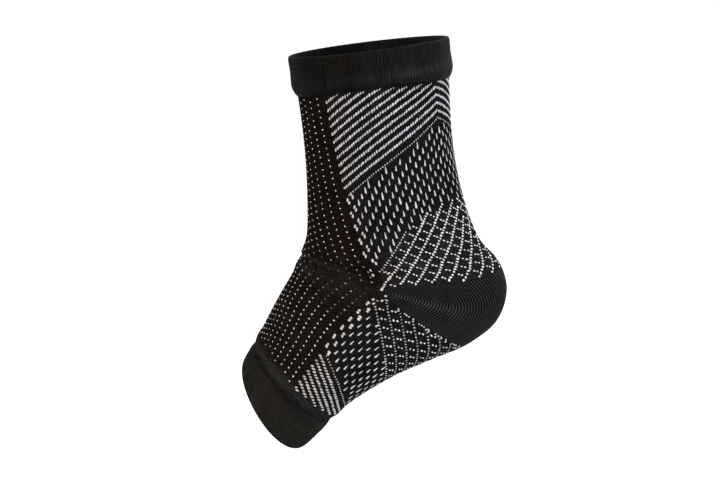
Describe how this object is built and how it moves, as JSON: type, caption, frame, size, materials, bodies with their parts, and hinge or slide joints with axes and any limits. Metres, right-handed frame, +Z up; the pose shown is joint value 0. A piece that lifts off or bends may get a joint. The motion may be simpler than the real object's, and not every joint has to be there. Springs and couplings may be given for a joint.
{
  "type": "ankle compression sleeve",
  "caption": "Open-toed knitted elastic sleeve for the ankle, with a turned heel pocket and a folded welt at the leg and at the toes.",
  "frame": {"origin": "middle of the ankle inside the sleeve, where the leg's axis meets the foot", "axes": "+X towards the back of the heel, the toes point to -X and down, +Y towards one side of the foot, +Z up the leg"},
  "size_m": [0.1443, 0.0882, 0.2171],
  "materials": {
    "leg_cuff": "black elastic welt, fine vertical wales, slightly satin",
    "leg_knit": "black elastic knit with off-white dots, stripes, dashes and lattice",
    "heel_knit": "plain black ridged heel knit, slightly satin",
    "foot_knit": "black elastic knit with off-white dots, stripes, dashes and lattice",
    "toe_cuff": "black elastic welt, fine wales, matt"
  },
  "bodies": {
    "root": {"leg_cuff": "leg_cuff", "leg_tube": "leg_knit", "heel_pocket": "heel_knit", "foot_tube": "foot_knit", "toe_cuff": "toe_cuff"}
  },
  "joints": []
}
